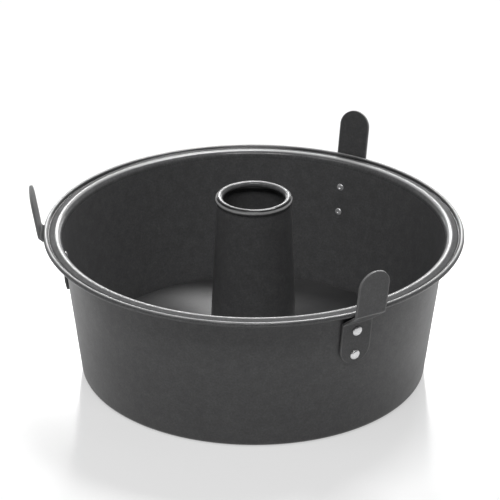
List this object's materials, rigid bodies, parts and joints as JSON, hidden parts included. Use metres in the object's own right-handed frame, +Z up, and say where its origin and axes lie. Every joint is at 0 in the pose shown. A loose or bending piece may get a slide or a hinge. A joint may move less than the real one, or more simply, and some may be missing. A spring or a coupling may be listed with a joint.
{
  "type": "angel food cake pan",
  "caption": "Round tapered cake pan with a wide rolled rim, a loose bottom with a tall centre tube, and riveted feet that hold it upside down to cool.",
  "frame": {"origin": "centre of the ring-shaped face that the pan stands on", "axes": "+Z up along the centre tube; one foot lies along -X, and the other two at 60 degrees either side of +X"},
  "size_m": [0.2719, 0.264, 0.1243],
  "materials": {
    "ring_coating": "dark grey non-stick coating, satin",
    "insert_coating": "dark grey non-stick coating, satin",
    "foot_coating": "dark grey coating, satin",
    "rivet_aluminium": "bright, lightly tumbled",
    "wire_steel": "drawn steel wire"
  },
  "bodies": {
    "pan": {"pan_ring": "ring_coating", "rim_wire": "wire_steel", "back_foot": "foot_coating", "left_foot": "foot_coating", "front_foot": "foot_coating", "back_foot_upper_rivet": "rivet_aluminium", "back_foot_lower_rivet": "rivet_aluminium", "left_foot_upper_rivet": "rivet_aluminium", "left_foot_lower_rivet": "rivet_aluminium", "front_foot_upper_rivet": "rivet_aluminium", "front_foot_lower_rivet": "rivet_aluminium"},
    "insert": {"bottom_plate": "insert_coating", "center_tube": "insert_coating"}
  },
  "joints": [
    {"name": "insert_lift", "type": "slide", "parent": "pan", "child": "insert", "axis": [0, 0, 1], "range_m": [0, 0.13]}
  ]
}
